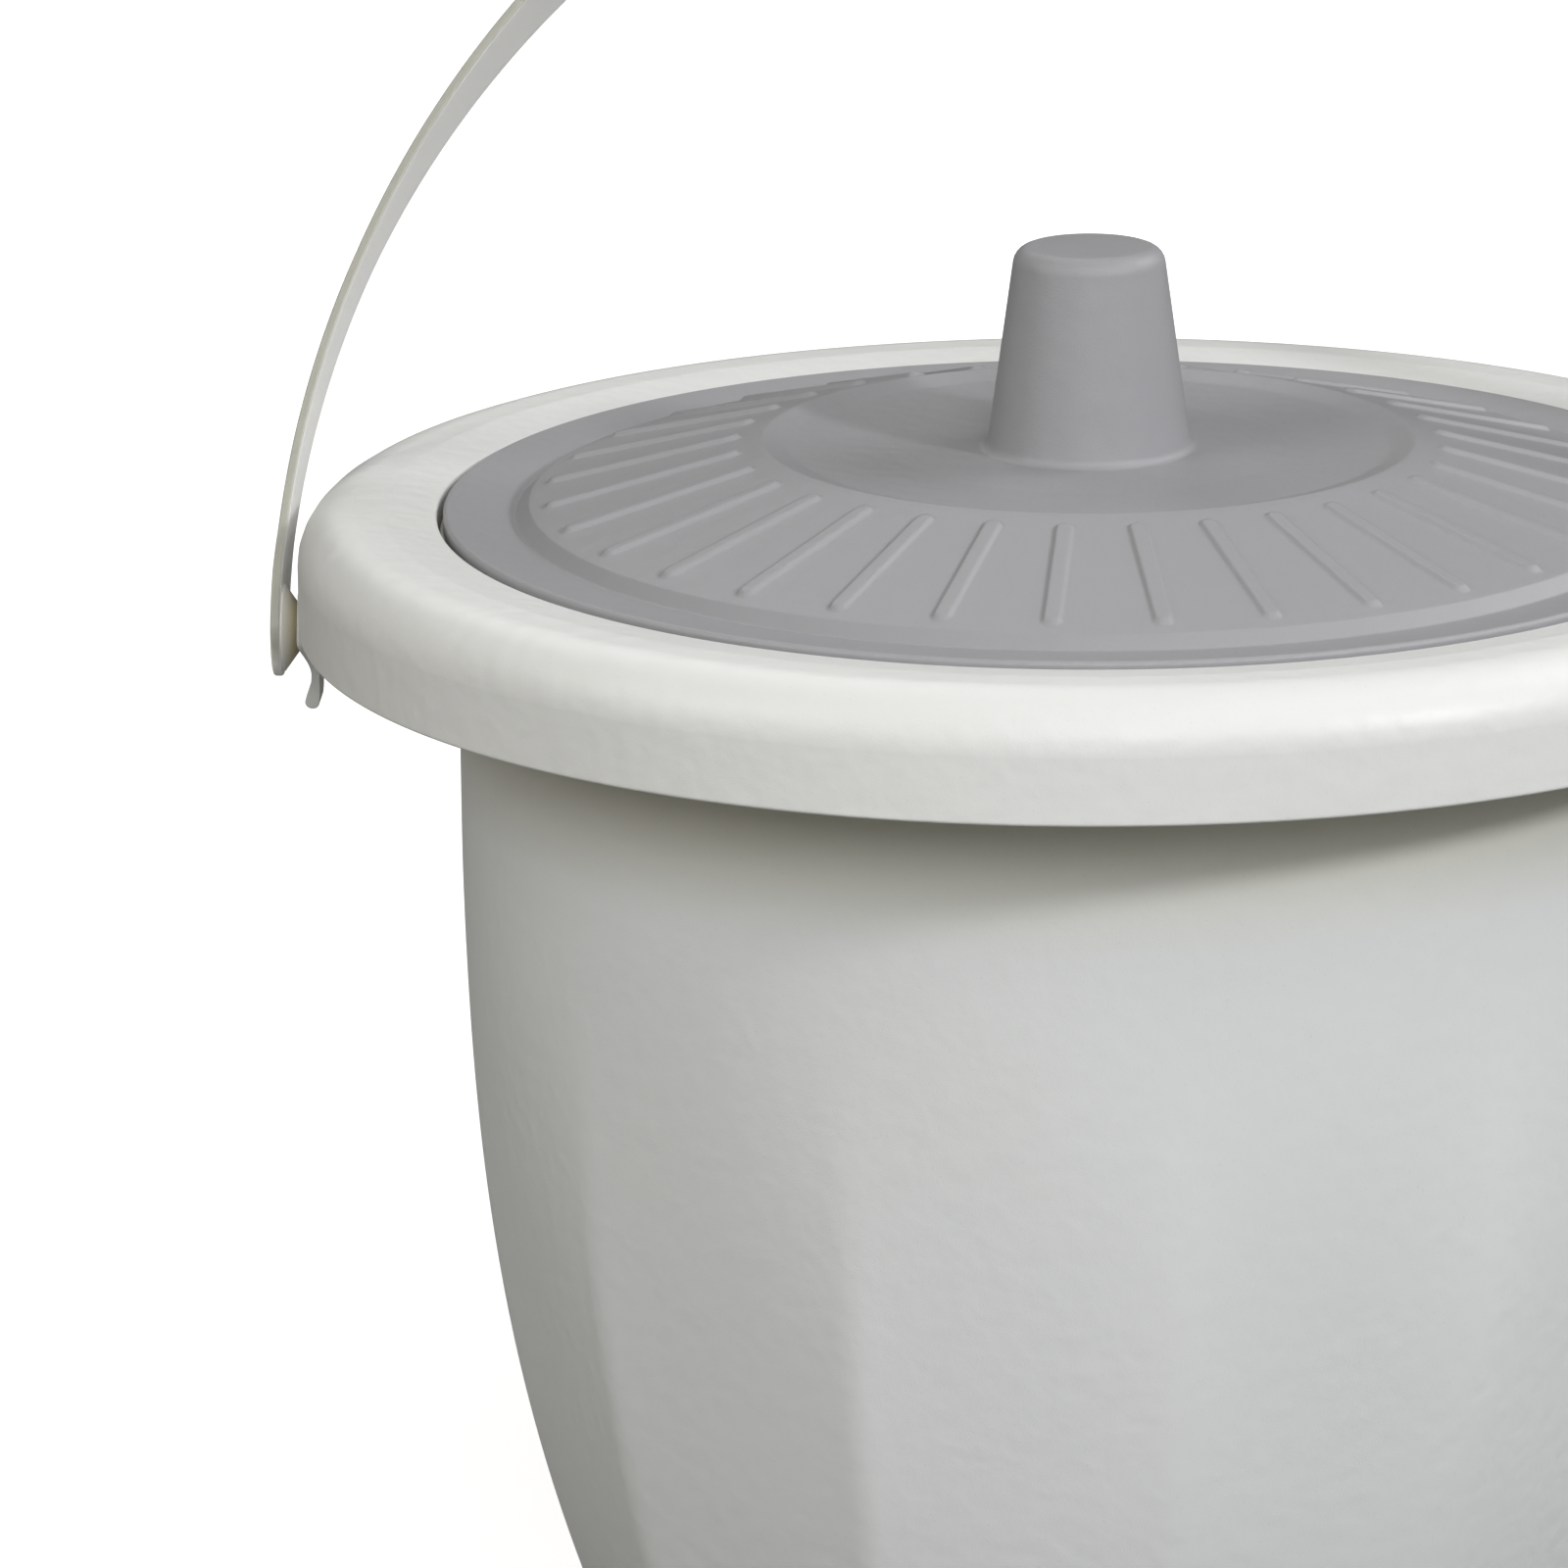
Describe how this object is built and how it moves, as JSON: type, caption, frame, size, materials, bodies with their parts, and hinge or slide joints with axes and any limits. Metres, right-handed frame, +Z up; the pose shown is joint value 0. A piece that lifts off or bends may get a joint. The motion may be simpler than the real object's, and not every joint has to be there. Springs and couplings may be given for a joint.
{
  "type": "lidded slop jar",
  "caption": "Moulded slop pail with a panelled wall, wide rolled brim ring, drop-in ribbed lid with a tapered knob, and a swinging strap handle.",
  "frame": {"origin": "centre of the foot, at the level it stands on", "axes": "+Z up along the pail's axis, the handle's pivots on the X axis, front towards -Y"},
  "size_m": [0.3314, 0.32, 0.4159],
  "materials": {
    "pail": "light grey moulded plastic, satin",
    "brim": "white moulded plastic, soft gloss",
    "lid": "mid grey moulded plastic, satin",
    "handle": "white moulded plastic, satin",
    "stud": "white moulded plastic, satin"
  },
  "bodies": {
    "pail": {"pail_body": "pail", "brim_ring": "brim", "pivot_stud_right": "stud", "pivot_stud_left": "stud"},
    "handle": {"strap_handle": "handle"},
    "lid": {"lid": "lid"}
  },
  "joints": [
    {"name": "handle_swing", "type": "hinge", "parent": "pail", "child": "handle", "pos_m": [0, 0, 0.2473], "axis": [1, 0, 0], "range_deg": [-102, 166]},
    {"name": "lid_lift", "type": "slide", "parent": "pail", "child": "lid", "axis": [0, 0, 1], "range_m": [0, 0.06]}
  ]
}
